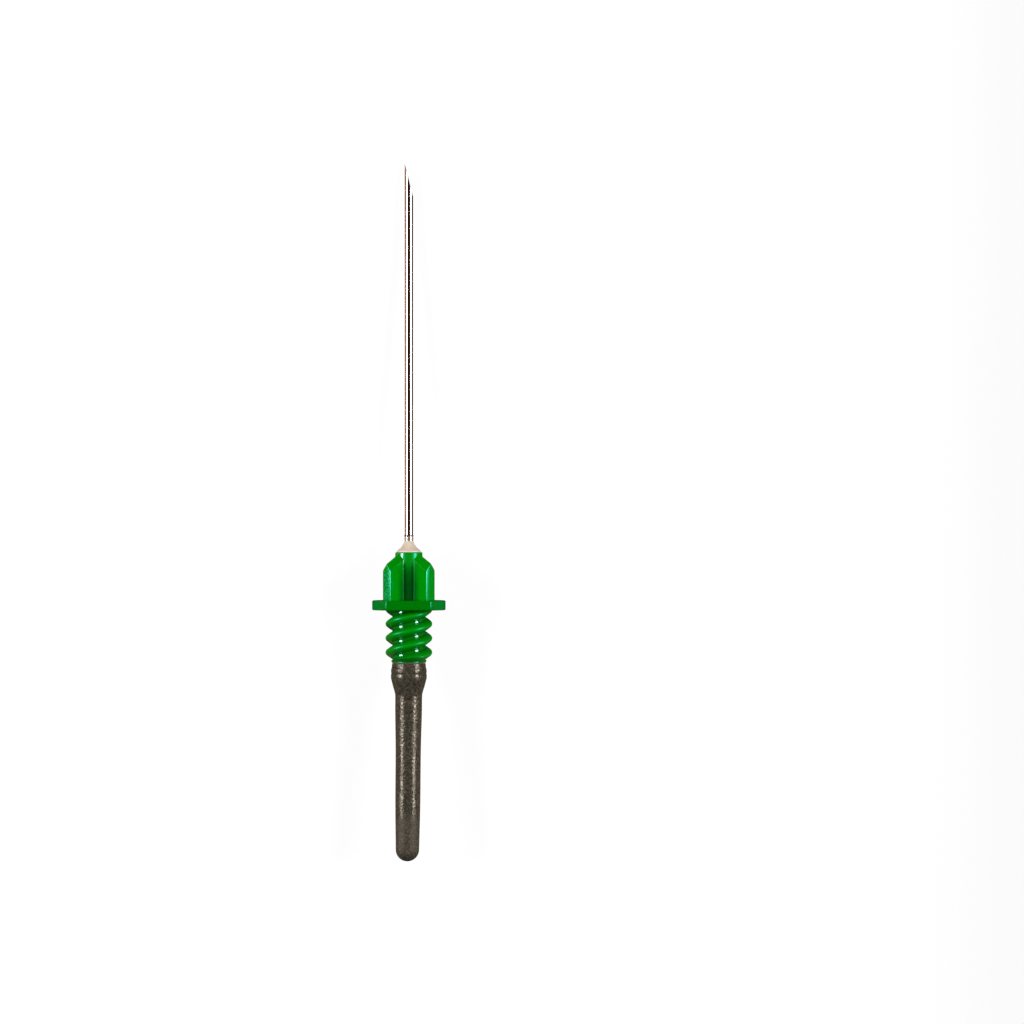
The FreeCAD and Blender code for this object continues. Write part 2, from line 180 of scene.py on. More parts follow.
class NeedleGlueSettings(bpy.types.PropertyGroup):
    """Sizes of the set glue."""

    base_diameter: length("Base diameter", "Diameter of the glue on the nose", 2.4)
    rim: length("Rim", "Height of the glue's rounded rim", 0.1)
    cone: length("Cone length", "Height of the hollow cone", 1.1)
    film: length("Film length", "Height of the thin film on the cannula", 1.66)
    film_thickness: length("Film thickness", "Thickness of the film", 0.045)
    waviness: length("Waviness", "How much the film's edge rises and falls", 0.07)


class NeedleSleeveSettings(bpy.types.PropertyGroup):
    """Sizes of the rubber sleeve."""

    gap: length("Gap", "Gap between hub and sleeve", 0.04)
    length: length("Length", "Length of the sleeve", 19.45)
    bore: length("Bore", "Inside diameter of the sleeve", 1.8)
    end_wall: length("End wall", "Thickness of the closed end", 0.75)
    bend: length("Bend", "How far the closed end hangs to one side", 0.15)


class NeedleStageSettings(bpy.types.PropertyGroup):
    """The floor, the lamps, the cards that the steel mirrors, and the camera."""

    lens: FloatProperty(name="Lens", description="Focal length of the camera", default=200.0, unit="CAMERA")
    view_width: length("View width", "Width that the camera sees at the needle", 100.39)
    aside: length("Aside", "How far the view's middle lies beside the needle's axis", 10.11)
    ahead: length("Ahead", "How far the view's middle lies in front of the hub", 3.931)
    left_angle: angle("Left softbox angle", "From the camera's line of sight to the left softbox", 59.0)
    right_angle: angle("Right softbox angle", "From the camera's line of sight to the right softbox", 57.0)
    box_width: length("Softbox width", "Width of each softbox", 160.0)
    box_length: length("Softbox length", "Length of each softbox", 260.0)
    box_ahead: length("Softbox offset", "How far the softboxes' middles lie in front of the hub", 70.0)
    box_power: FloatProperty(
        name="Softbox power", description="Power of each softbox", default=2.5, unit="POWER"
    )
    warm: colour("Warm lamp", "Colour of the dim lamp beside the camera", "#ff8c30")
    warm_angle: angle("Warm lamp angle", "From the camera's line of sight to the dim lamp", 15.0)
    warm_width: length("Warm lamp width", "Width of the dim lamp", 250.0)
    warm_power: FloatProperty(
        name="Warm lamp power", description="Power of the dim lamp", default=0.03, unit="POWER"
    )
    fill: FloatProperty(name="Fill", description="Strength of the even light all round", default=0.03)
    floor: colour("Floor", "Colour of the floor", "#606060")
    glow: FloatProperty(
        name="Glow", description="How brightly the floor shines towards the camera", default=0.92
    )
    mirrored_left: colour("Mirrored left", "Floor as the steel mirrors it on its left side", "#ce987c")
    mirrored_right: colour("Mirrored right", "Floor as the steel mirrors it on its right side", "#5a3a2e")
    mirrored_hub: colour("Mirrored hub", "Floor as the hub mirrors it", "#28483c")
    mirrored_sleeve: colour("Mirrored sleeve", "Floor as the sleeve mirrors it", "#8a8068")
    wide: length("Floor size", "Side of the square floor", 4000.0)
    left_card: colour("Left card", "Colour of the card on the left", "#d0916d")
    right_card: colour("Right card", "Colour of the card on the right", "#54382a")
    card_away: length("Card distance", "From the needle to each card", 75.0)
    card_height: length("Card height", "Height of each card", 18.0)
    card_length: length("Card length", "Length of each card", 160.0)


class Millimetres:
    """Reads a settings group, with its lengths in millimetres."""

    def __init__(self, group):
        self.group = group

    def __getattr__(self, name):
        value = getattr(self.group, name)
        return value / MM if self.group.bl_rna.properties[name].unit == "LENGTH" else value


def sizes(context, part):
    """The settings of a part, with lengths in millimetres."""
    return Millimetres(getattr(context.scene, f"needle_{part}"))


def needle_frame():
    """Where the needle's own axes lie in the row frame, in metres. The thread mount's axis looks back along
    the needle from the middle of the thread, and X is the same in both."""
    mount = MOUNTS["holder_thread"]
    hub = sizes(bpy.context, "hub")
    forward = -Vector(mount["axis"]).normalized()
    across = Vector((1, 0, 0))
    start = Vector(mount["pos_m"]) + forward * (hub.nose + hub.flange + hub.thread / 2) * MM
    turn = Matrix((across, forward.cross(across), forward)).transposed()
    return Matrix.Translation(start) @ turn.to_4x4()


def hub_end(hub):
    """Place of the hub's rear end along the axis."""
    return -(hub.nose + hub.flange + hub.thread)


def profile(bm, points, closed=False):
    """A chain of edges through (radius, z) points, ready to spin."""
    verts = [bm.verts.new((radius, 0, z)) for radius, z in points]
    ends = verts[1:] + verts[:1] if closed else verts[1:]
    edges = [bm.edges.new(pair) for pair in zip(verts, ends)]
    return verts + edges


def finish_shell(bm, near=1e-5):
    """Merges points that lie near each other, then turns the faces outward."""
    bmesh.ops.remove_doubles(bm, verts=bm.verts, dist=near)
    bmesh.ops.recalc_face_normals(bm, faces=bm.faces)


def lathe(points, steps=ROUND_STEPS, closed=False):
    """A full turn of a profile about the axis, closed and with its faces outward."""
    bm = bmesh.new()
    bmesh.ops.spin(
        bm, geom=profile(bm, points, closed), cent=(0, 0, 0), axis=UP_AXIS, dvec=(0, 0, 0), angle=math.tau,
        steps=steps, use_merge=True,
    )
    finish_shell(bm)
    return bm


def cut(bm, place, normal, material=0):
    """Cuts off what lies beyond a plane and closes the cut with faces of one material."""
    geom = bm.verts[:] + bm.edges[:] + bm.faces[:]
    result = bmesh.ops.bisect_plane(
        bm, geom=geom, dist=1e-6, plane_co=place, plane_no=normal, clear_outer=True
    )
    edges = [item for item in result["geom_cut"] if isinstance(item, bmesh.types.BMEdge)]
    filled = bmesh.ops.triangle_fill(bm, use_beauty=True, use_dissolve=False, edges=edges)
    faces = [item for item in filled["geom"] if isinstance(item, bmesh.types.BMFace)]
    if not faces:
        raise RuntimeError("A cut left no face to close")
    for face in faces:
        face.material_index = material


def rounded(bm, edges, radius, segments=3):
    """Rounds edges."""
    bmesh.ops.bevel(
        bm, geom=edges, offset=radius, offset_type="OFFSET", segments=segments, profile=0.5, affect="EDGES",
        material=-1, clamp_overlap=True,
    )
    finish_shell(bm, ROUNDED_WELD)


def helper_object(bm, name):
    """A passing object for a Boolean, in triangles, because faces that aren't quite flat spoil the result."""
    bmesh.ops.triangulate(bm, faces=bm.faces)
    mesh = bpy.data.meshes.new(name)
    bm.to_mesh(mesh)
    bm.free()
    made = bpy.data.objects.new(name, mesh)
    bpy.context.scene.collection.objects.link(made)
    return made


def combined(bm, steps):
    """A shell after Boolean steps, each an operation and another shell, as a new bmesh."""
    base = helper_object(bm, "base")
    tools = []
    for operation, other in steps:
        tools.append(helper_object(other, operation.lower()))
        modifier = base.modifiers.new(operation, "BOOLEAN")
        modifier.operation = operation
        modifier.solver = "EXACT"
        modifier.object = tools[-1]
    graph = bpy.context.evaluated_depsgraph_get()
    result = bmesh.new()
    result.from_mesh(bpy.data.meshes.new_from_object(base.evaluated_get(graph)))
    for made in (base, *tools):
        mesh = made.data
        bpy.data.objects.remove(made)
        bpy.data.meshes.remove(mesh)
    return result


def piece(bm, name, node, materials, smooth_angle=35.0, weighted=False):
    """Lays a finished shell in the row frame as the piece that stands for a CAD node. Weighted normals keep
    flat faces beside rounded edges from being shaded as if they bulged."""
    if not bm.faces or any(not edge.is_manifold for edge in bm.edges):
        raise RuntimeError(f"{name} isn't a closed shell")
    bmesh.ops.transform(bm, matrix=needle_frame() @ Matrix.Scale(MM, 4), verts=bm.verts)
    mesh = bpy.data.meshes.new(name)
    bm.to_mesh(mesh)
    bm.free()
    mesh.shade_smooth()
    mesh.set_sharp_from_angle(angle=math.radians(smooth_angle))
    for material in materials:
        mesh.materials.append(material)
    made = bpy.data.objects.new(name, mesh)
    bpy.context.scene.collection.objects.link(made)
    if weighted:
        made.modifiers.new("weighted normals", "WEIGHTED_NORMAL").keep_sharp = True
    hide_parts(node)
    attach(made, BODY)
    return made


def add_node(tree, kind, inputs=(), stops=(), **settings):
    """Adds a shader node with its settings. Its inputs are listed in their own order or by name, each a
    constant or the socket that feeds it. Stops are the places and colours of a colour ramp."""
    node = tree.nodes.new("ShaderNode" + kind)
    for key, setting in settings.items():
        setattr(node, key, setting)
    for key, source in inputs.items() if isinstance(inputs, dict) else enumerate(inputs):
        if isinstance(source, bpy.types.NodeSocket):
            tree.links.new(source, node.inputs[key])
        else:
            node.inputs[key].default_value = source
    if stops:
        elements = node.color_ramp.elements
        while len(elements) < len(stops):
            elements.new(0.5)
        for element, (position, shade) in zip(elements, stops):
            element.position, element.color = position, shade
    return node


def layered(tree, shade, layers):
    """A colour with others laid over it. Each layer is its share and its colour."""
    for share, other in layers:
        inputs = {"Factor": share, "A": shade, "B": other}
        shade = add_node(tree, "Mix", inputs, data_type="RGBA").outputs["Result"]
    return shade


def empty_tree(owner):
    """The owner's node tree, with nothing in it."""
    owner.use_nodes = True
    owner.node_tree.nodes.clear()
    return owner.node_tree


class Finish:
    """A node material that is being made. Its place is the needle's own coordinates, in millimetres."""

    def __init__(self, name):
        where = needle_frame()
        self.material = bpy.data.materials.new(name)
        self.tree = empty_tree(self.material)
        source = self.add("TexCoord", out="Object")
        laid = {"Location": where.translation, "Rotation": where.to_euler(), "Scale": (MM, MM, MM)}
        self.place = self.add("Mapping", {"Vector": source, **laid}, vector_type="TEXTURE")

    def add(self, kind, inputs=(), out=0, **settings):
        """Adds a node to this material and returns one of its outputs."""
        return add_node(self.tree, kind, inputs, **settings).outputs[out]

    def grain(self, waves, detail, roughness=0.55, scale=(1, 1, 1)):
        """Fractal noise with that many waves a millimetre, on coordinates times a scale per axis."""
        place = self.add("Mapping", {"Vector": self.place, "Scale": scale})
        fractal = {"Scale": waves, "Detail": detail, "Roughness": roughness}
        return self.add("TexNoise", {"Vector": place, **fractal})

    def mask(self, *fades):
        """The product of fades. Each is a value, where the fade starts and ends, and what it gives there."""
        shares = [self.add("MapRange", fade) for fade in fades]
        share = shares.pop(0)
        for other in shares:
            share = self.add("Math", (share, other), operation="MULTIPLY")
        return share

    def surface(self, inputs):
        """Ends the material in one Principled shader."""
        shader = self.add("BsdfPrincipled", inputs)
        add_node(self.tree, "OutputMaterial", {"Surface": shader})
        return self.material


def drawn_steel(settings):
    """Drawn stainless tube: bright and mirror-like, with fine draw lines along it that break up the glare."""
    finish = Finish("drawn stainless steel")
    lines = finish.grain(14.0, 1.0, scale=(1, 1, 0.004))
    clouds = finish.grain(1.5, 3.0, scale=(1, 1, 0.3))
    return finish.surface(
        {
            "Base Color": settings.steel,
            "Metallic": 1.0,
            "Roughness": finish.mask((clouds, 0.3, 0.7, 0.04, 0.08)),
            "Normal": finish.add("Bump", {"Height": lines, "Distance": 0.004 * MM, "Strength": 0.08}),
        }
    )


def ground_steel(settings):
    """Ground stainless facets: greyer than the tube, with wheel marks across them that scatter the light."""
    finish = Finish("ground stainless steel")
    marks = finish.grain(16.0, 3.0, scale=(0.15, 1, 1))
    return finish.surface(
        {
            "Base Color": settings.ground,
            "Metallic": 1.0,
            "Roughness": finish.mask((marks, 0.3, 0.7, 0.3, 0.5)),
            "Normal": finish.add("Bump", {"Height": marks, "Distance": 0.006 * MM, "Strength": 0.5}),
        }
    )


def moulded_plastic():
    """Injection-moulded polypropylene: deep green with teal glints. It is glossier between the ribs and the
    ridges, and painted darker there, as painted shade; it is duller on the outer faces. The flange is painted a
    darker green, as painted shade, with a painted teal sheen on its ends. It has a fine parting line, and one
    rib has scuff marks with painted light teal glints among them."""
    finish = Finish("moulded green polypropylene")
    flat = finish.add("Mapping", {"Vector": finish.place, "Scale": (1, 1, 0)})
    radius = finish.add("VectorMath", (flat,), "Value", operation="LENGTH")
    along, across = (finish.add("SeparateXYZ", (finish.place,), axis) for axis in "ZX")
    aside = finish.add("Math", (across,), operation="ABSOLUTE")
    inward = (radius, 1.65, 2.2, 1.0, 0.0)
    behind_nose = (along, -4.66, -4.72, 0.0, 1.0)
    # painted shade: the flange's outer part is painted a darker green
    flange = finish.mask(behind_nose, (radius, 2.6, 2.85, 0.0, 0.55))
    # painted sheen: a teal green laid on the flange's two ends
    flange_end_painted_sheen = finish.mask(behind_nose, (aside, 2.2, 3.2, 0.0, 0.6))
    # painted shade: a darker green laid in the recesses between the ribs and in the thread's roots
    painted_recess_shade = finish.mask(inward, (along, -0.6, -3.2, 0.0, 1.0))
    # one rib's end has scuff marks, dark and light speckles; the light teal ones are painted glints
    squeezed = finish.add("Mapping", {"Vector": finish.place, "Scale": (1, 1, 0.5)})
    near_scuff = finish.add("VectorMath", (squeezed, (-2.25, -2.05, -1.6)), "Value", operation="DISTANCE")
    scuffed_with_painted_glints = finish.mask((near_scuff, 0.5, 0.9, 1.0, 0.0))
    dark, plain, painted_glint_teal = linear("#005c30"), linear("#009410"), linear("#30c09a")
    scuff_and_glint_colours = ((0.38, dark), (0.46, plain), (0.56, plain), (0.64, painted_glint_teal))
    mottle = ((0.3, linear("#008a00")), (0.7, linear("#009602")))
    shade = layered(
        finish.tree,
        finish.add("ValToRGB", (finish.grain(4.0, 3.0),), stops=mottle),
        (
            (flange, linear("#005c02")),
            (flange_end_painted_sheen, linear("#008a2e")),
            (painted_recess_shade, linear("#006a04")),
            (scuffed_with_painted_glints, finish.add("ValToRGB", (finish.grain(7.0, 2.0),), stops=scuff_and_glint_colours)),
        ),
    )
    skin = finish.add("Bump", {"Height": finish.grain(2.2, 2.0), "Distance": 0.02 * MM, "Strength": 0.3})
    outward = finish.mask((radius, 1.9, 2.4, 0.0, 1.0))
    texture = finish.add("Math", (finish.grain(11.0, 2.0), outward), operation="MULTIPLY")
    skin = finish.add("Bump", {"Height": texture, "Distance": 0.008 * MM, "Strength": 0.6, "Normal": skin})
    parting_turn = math.radians(49.0)
    across_line = (math.cos(parting_turn), math.sin(parting_turn), 0.0)
    off_line = finish.add("VectorMath", (finish.place, across_line), "Value", operation="DOT_PRODUCT")
    off_line = finish.add("Math", (off_line,), operation="ABSOLUTE")
    parting_line = finish.mask((off_line, 0.008, 0.03, 1.0, 0.0))
    skin = finish.add("Bump", {"Height": parting_line, "Distance": 0.02 * MM, "Normal": skin})
    on_thread = finish.mask((along, -5.6, -5.75, 0.0, 1.0), (along, -10.1, -10.25, 1.0, 0.0))
    on_nose = finish.mask((along, -1.3, -0.9, 0.0, 1.0), (across, -0.2, 0.2, 1.0, 0.0))
    polished = finish.add("Math", (on_thread, on_nose), operation="MAXIMUM")
    crests = finish.mask((radius, 1.65, 2.2, 0.0, 0.35))
    crests = finish.add("Math", (crests, on_thread), operation="MULTIPLY")
    rib_ends = finish.mask((radius, 2.7, 3.0, 0.0, 0.22))
    collar = finish.mask((along, -10.05, -10.25, 0.0, 0.35))
    roughness = finish.mask((radius, 1.3, 1.5, 0.36, 0.17))
    for other in (rib_ends, collar, crests):
        roughness = finish.add("Math", (roughness, other), operation="MAXIMUM")
    return finish.surface(
        {
            "Base Color": shade,
            "Roughness": roughness,
            "IOR": 1.49,
            "Normal": skin,
            "Specular IOR Level": 0.9,
            "Specular Tint": linear("#44f4cc"),
            "Coat Weight": finish.add("Math", (finish.mask(inward), polished), operation="MULTIPLY"),
            "Coat Roughness": 0.08,
        }
    )


def set_resin():
    """Set epoxy glue: milky beige and smooth, with small cloudy spots inside, and a light pink highlight
    painted along its rim on the nose.
    """
    finish = Finish("set epoxy glue")
    clouds = finish.grain(4.0, 4.0)
    height = finish.add("SeparateXYZ", (finish.place,), "Z")
    milky = finish.add("ValToRGB", (clouds,), stops=((0.3, linear("#e6d0b9")), (0.7, linear("#eedcc8"))))
    # painted highlight: a light pink line along the glue's rim where it meets the nose
    rim = finish.mask((height, 0.1, 0.16, 0.9, 0.0))
    return finish.surface(
        {
            "Base Color": layered(finish.tree, milky, ((rim, linear("#ffd8dc")),)),
            "Roughness": finish.mask((clouds, 0.3, 0.7, 0.3, 0.45)),
            "IOR": 1.5,
            "Normal": finish.add("Bump", {"Height": clouds, "Distance": 0.01 * MM, "Strength": 0.3}),
            "Subsurface Weight": 0.3,
            "Subsurface Radius": (0.0006, 0.0004, 0.0003),
            "Subsurface Scale": 1.0,
        }
    )


def clear_resin(settings):
    """Clear epoxy film that crept up the steel, with a dark brown ring painted where its edge bends away, as
    painted shade.
    """
    finish = Finish("clear epoxy film")
    waves = finish.grain(2.5, 2.0)
    height = finish.add("SeparateXYZ", (finish.place,), "Z")
    # painted shade: the film turns dark brown and less clear at its edge
    edge = finish.mask((height, settings.film - 0.13, settings.film - 0.08, 0.0, 1.0))
    film_and_painted_edge_shade = ((0.0, linear("#c8b8a4")), (1.0, linear("#4c3828")))
    return finish.surface(
        {
            "Base Color": finish.add("ValToRGB", (edge,), stops=film_and_painted_edge_shade),
            "Roughness": 0.2,
            "IOR": 1.5,
            "Alpha": finish.mask((edge, 0.0, 1.0, 0.2, 0.9)),
            "Normal": finish.add("Bump", {"Height": waves, "Distance": 0.01 * MM, "Strength": 0.3}),
        }
    )


def matt_rubber(mouth):
    """Moulded isoprene rubber: dark grey-brown, dusted and finely pitted, so its shine breaks up into grain,
    and dull near its closed end. A dark speck sits on it, and a rosy line is painted along its mouth's thin
    edge, as painted light shining through the thin rubber."""
    finish = Finish("moulded isoprene rubber")
    along = finish.add("SeparateXYZ", (finish.place,), "Z")
    dust = ((0.36, linear("#282420")), (0.5, linear("#3c372d")), (0.66, linear("#5a5448")))
    near_speck = finish.add("VectorMath", (finish.place, (-0.19, -1.2, -21.9)), "Value", operation="DISTANCE")
    # painted light: a rosy line along the mouth's thin edge, where light shines through the rubber
    edge = finish.mask((along, mouth - 0.08, mouth - 0.03, 0.0, 0.9))
    speck = finish.mask((near_speck, 0.04, 0.09, 0.9, 0.0))
    shade = layered(
        finish.tree,
        finish.add("ValToRGB", (finish.grain(5.0, 5.0, 0.65),), stops=dust),
        ((edge, linear("#a84c64")), (speck, linear("#120f0c"))),
    )
    grainy = finish.mask((finish.grain(4.0, 1.0, 0.5), 0.38, 0.62, 0.16, 0.42))
    dull_end = finish.mask((along, -25.0, -26.4, 0.0, 0.6))
    pits = finish.grain(5.0, 1.0, 0.4)
    return finish.surface(
        {
            "Base Color": shade,
            "Roughness": finish.add("Math", (grainy, dull_end), operation="MAXIMUM"),
            "IOR": 1.52,
            "Normal": finish.add("Bump", {"Height": pits, "Distance": 0.03 * MM, "Strength": 1.0}),
            "Specular Tint": linear("#fff0dc"),
        }
    )


class NEEDLE_OT_cannula(bpy.types.Operator):
    """Builds the steel tube with a lancet point ground at each end"""

    bl_idname = "needle.cannula"
    bl_label = "Build Cannula"

    def execute(self, context):
        tube = sizes(context, "cannula")
        hub = sizes(context, "hub")
        outer, inner = tube.outside / 2, tube.inside / 2
        ends = ((tube.front, 1, tube.bevel), (hub_end(hub) - tube.rear, -1, tube.rear_bevel))
        (front, _, _), (rear, _, _) = ends
        bm = lathe([(inner, rear), (outer, rear), (outer, front), (inner, front)], TUBE_STEPS, closed=True)
        foot = outer * math.cos(tube.facet_turn)
        for tip, way, bevel in ends:
            self.grind(bm, tip, way, 0.0, outer, bevel)
            for turn in (tube.facet_turn, -tube.facet_turn):
                self.grind(bm, tip, way, turn, foot, tube.facet)
        bmesh.ops.recalc_face_normals(bm, faces=bm.faces)
        materials = [drawn_steel(tube), ground_steel(tube)]
        piece(bm, "steel_tube", "cannula", materials, 20.0)
        return {"FINISHED"}

    @staticmethod
    def grind(bm, tip, way, turn, foot, slope):
        """Grinds one plane that leaves the tip and slopes back through the tube."""
        out = Vector((math.cos(turn), math.sin(turn), 0))
        cut(bm, UP_AXIS * tip - out * foot, out * math.cos(slope) + UP_AXIS * way * math.sin(slope), 1)


class NEEDLE_OT_hub(bpy.types.Operator):
    """Builds the green moulding: nose, ribs, flange, holder thread and barbed spigot in one shell"""

    bl_idname = "needle.hub"
    bl_label = "Build Hub"

    def execute(self, context):
        hub = sizes(context, "hub")
        end = hub_end(hub)
        solids = [("UNION", self.nose(hub))]
        solids += [("UNION", self.rib_pair(hub, turn, lap)) for turn, lap in ((45.0, 0.01), (135.0, 0.02))]
        solids += [("UNION", self.flange(hub)), ("UNION", self.spigot(hub, end))]
        solids.append(("DIFFERENCE", self.bore(hub, end)))
        thread = combined(self.thread(hub, end), [("INTERSECT", self.lead_in(hub, end))])
        finish_shell(thread, BOOLEAN_WELD)
        shell = combined(thread, solids)
        finish_shell(shell, BOOLEAN_WELD)
        piece(shell, "green_hub", "hub", [moulded_plastic()], 32.0, weighted=True)
        return {"FINISHED"}

    @staticmethod
    def nose(hub):
        """A round post with a rounded front edge, its foot inside the flange."""
        radius, foot = hub.nose_diameter / 2, -hub.nose - hub.flange / 2
        bm = lathe([(0, foot), (radius, foot), (radius, 0), (0, 0)])
        rim = [e for e in bm.edges if all(v.co.z > -1e-6 and v.co.xy.length > radius / 2 for v in e.verts)]
        rounded(bm, rim, hub.nose_edge, 4)
        return bm

    @staticmethod
    def rib_pair(hub, degrees, lap):
        """Two opposite ribs as one plate through the axis, with a gabled top on each side. Its buried faces
        are shifted by lap, because faces that lie in one plane spoil a union."""
        half = hub.rib_thickness / 2
        sharp, buried = math.radians(24), 0.1
        foot = -hub.nose - hub.flange / 2 + 5 * lap
        top = -hub.rib_set_back + lap
        bm = bmesh.new()
        bmesh.ops.create_circle(bm, cap_ends=True, segments=RIB_STEPS, radius=hub.rib_reach)
        bmesh.ops.translate(bm, verts=bm.verts, vec=(0, 0, foot))
        raised = bmesh.ops.extrude_face_region(bm, geom=bm.faces[:])
        bmesh.ops.translate(
            bm, verts=[g for g in raised["geom"] if isinstance(g, bmesh.types.BMVert)], vec=(0, 0, top - foot)
        )
        bmesh.ops.recalc_face_normals(bm, faces=bm.faces)
        for side in (1, -1):
            cut(bm, (0, side * half, 0), (0, side, 0))
        lift = math.sin(hub.rib_roof)
        for way in (1, -1):
            ridge = Vector((way * hub.nose_diameter / 2, 0, -hub.rib_set_back))
            upright = Vector((way * math.sin(hub.rib_descent), 0, math.cos(hub.rib_descent)))
            for side in (1, -1):
                cut(bm, ridge, upright * math.cos(hub.rib_roof) + Vector((0, side * lift, 0)))
        bmesh.ops.dissolve_limit(bm, angle_limit=FLAT, verts=bm.verts, edges=bm.edges)
        bmesh.ops.recalc_face_normals(bm, faces=bm.faces)
        corners = [
            e for e in bm.edges
            if all(abs(v.co.xy.length - hub.rib_reach) < 1e-3 and v.co.z > foot + buried for v in e.verts)
            and (e.verts[0].co - e.verts[1].co).xy.length > 1e-3
        ]
        rounded(bm, corners, hub.rib_corner, 4)
        edges = [
            e for e in bm.edges
            if e.is_manifold and e.calc_face_angle() > sharp
            and max(v.co.z for v in e.verts) > foot + buried
        ]
        rounded(bm, edges, hub.rib_edge, 3)
        turned = Matrix.Rotation(math.radians(degrees), 3, "Z")
        bmesh.ops.rotate(bm, cent=(0, 0, 0), matrix=turned, verts=bm.verts)
        return bm

    @staticmethod
    def flange(hub):
        """A disc with two flats, its upright corners and its rims rounded."""
        radius, half = hub.flange_diameter / 2, hub.flange_flats / 2
        middle = -hub.nose - hub.flange / 2
        bm = bmesh.new()
        bmesh.ops.create_cone(
            bm, cap_ends=True, cap_tris=False, segments=FLANGE_STEPS, radius1=radius, radius2=radius,
            depth=hub.flange, matrix=Matrix.Translation((0, 0, middle)),
        )
        for side in (1, -1):
            cut(bm, (0, side * half, 0), (0, side, 0))
        bmesh.ops.dissolve_limit(bm, angle_limit=FLAT, verts=bm.verts, edges=bm.edges)
        bmesh.ops.recalc_face_normals(bm, faces=bm.faces)
        upright = [
            e for e in bm.edges
            if abs(e.verts[0].co.z - e.verts[1].co.z) > hub.flange / 2
            and abs(abs(e.verts[0].co.y) - half) < 1e-4
        ]
        rounded(bm, upright, hub.flange_corner, 5)
        rims = [e for e in bm.edges if abs(e.verts[0].co.z - e.verts[1].co.z) < 1e-6]
        rounded(bm, rims, hub.flange_edge, 3)
        return bm

    @staticmethod
    def thread(hub, end):
        """Two right-hand ridges round a core: a rounded profile screwed up by one lead in a turn."""
        root_r = hub.root_diameter / 2
        section = (
            (root_r, hub.ridge_foot / 2, hub.root_round),
            (hub.knee_diameter / 2, hub.knee / 2, hub.knee_round),
            (hub.crest_diameter / 2, hub.crest / 2, hub.crest_round),
        )
        pitch = hub.lead / 2
        first = end - hub.thread_start - 2 * hub.lead
        ridges = 10
        points = []
        for ridge in range(ridges):
            z = first + ridge * pitch
            points += [(radius, z - half) for radius, half, _ in section]
            points += [(radius, z + half) for radius, half, _ in reversed(section)]
        points.append((root_r, first + ridges * pitch - hub.ridge_foot / 2))
        bm = bmesh.new()
        profile(bm, points)
        bends = [
            ([v for v in bm.verts if abs(v.co.x - at) < 1e-4 and len(v.link_edges) == 2], radius)
            for at, _, radius in section
        ]
        for verts, radius in bends:
            bmesh.ops.bevel(
                bm, geom=verts, offset=radius, offset_type="OFFSET", segments=4, profile=0.5,
                affect="VERTICES", material=-1,
            )
        bmesh.ops.spin(
            bm, geom=bm.verts[:] + bm.edges[:], cent=(0, 0, 0), axis=UP_AXIS,
            dvec=(0, 0, hub.lead / THREAD_STEPS), angle=math.tau, steps=THREAD_STEPS,
        )
        bmesh.ops.remove_doubles(bm, verts=bm.verts, dist=1e-4)
        inside_flange, past_end = -hub.nose - hub.flange * 0.6, end - 0.2
        for place, way in ((inside_flange, 1), (past_end, -1)):
            cut(bm, (0, 0, place), (0, 0, way))
        finish_shell(bm)
        return bm

    @staticmethod
    def lead_in(hub, end):
        """What the thread's rear end is cut down to: a short band, then a widening cone."""
        band_r, band = hub.end_diameter / 2, end + hub.end_band
        wide = 2 * hub.crest_diameter
        cone = band + (wide - band_r) / math.tan(hub.lead_in)
        far = max(-hub.nose, cone)
        outline = [(0, end), (band_r, end), (band_r, band), (wide, cone), (wide, far), (0, far)]
        return lathe(outline, LEAD_IN_STEPS)

    @staticmethod
    def spigot(hub, end):
        """The neck and the barb behind the thread, with a start inside the thread."""
        neck_r, barb_r = hub.neck_diameter / 2, hub.barb_diameter / 2
        neck, barb = end - hub.neck, end - hub.neck - hub.barb_rise
        buried = end + 0.5
        return lathe(
            [
                (0, buried), (neck_r, buried), (neck_r, neck), (barb_r, barb), (barb_r, barb - hub.barb_land),
                (hub.spigot_tip / 2, end - hub.spigot), (0, end - hub.spigot),
            ]
        )

    @staticmethod
    def bore(hub, end):
        """What is cut out for the cannula and the glue, long enough to pass both ends."""
        well_r, bore_r = hub.well_diameter / 2, hub.bore / 2
        front, rear = hub.spigot, end - 2 * hub.spigot
        return lathe(
            [(0, front), (well_r, front), (well_r, -hub.well), (bore_r, -hub.well), (bore_r, rear), (0, rear)]
        )


class NEEDLE_OT_glue(bpy.types.Operator):
    """Builds the set glue: a full well, a hollow cone and a thin film up the cannula"""

    bl_idname = "needle.glue"
    bl_label = "Build Glue"

    def execute(self, context):
        glue = sizes(context, "glue")
        hub = sizes(context, "hub")
        gap, taper, concave, steps, waves = 0.01, 0.3, 1.75, 10, 3.0
        inner, well_r = hub.bore / 2, hub.well_diameter / 2 - gap
        film_r = inner + glue.film_thickness
        base_r = glue.base_diameter / 2
        points = [(inner, gap - hub.well), (well_r, gap - hub.well), (well_r, 0.0), (base_r, 0.0)]
        for step in range(steps + 1):
            share = step / steps
            radius = film_r + (base_r - film_r) * (1 - share) ** concave
            points.append((radius, glue.rim + (glue.cone - glue.rim) * share))
        points += [(film_r, glue.film - taper), (film_r - gap, glue.film), (inner, glue.film + 2 * gap)]
        points.append((inner, glue.cone))
        bm = lathe(points, closed=True)
        for vert in bm.verts:
            share = max(0.0, (vert.co.z - glue.cone) / (glue.film - glue.cone))
            vert.co.z += glue.waviness * share * noise.noise(Vector((vert.co.x, vert.co.y, 0)) * waves)
        for face in bm.faces:
            face.material_index = int(face.calc_center_median().z > glue.cone)
        bmesh.ops.recalc_face_normals(bm, faces=bm.faces)
        piece(bm, "glue_cone", "adhesive", [set_resin(), clear_resin(glue)])
        return {"FINISHED"}


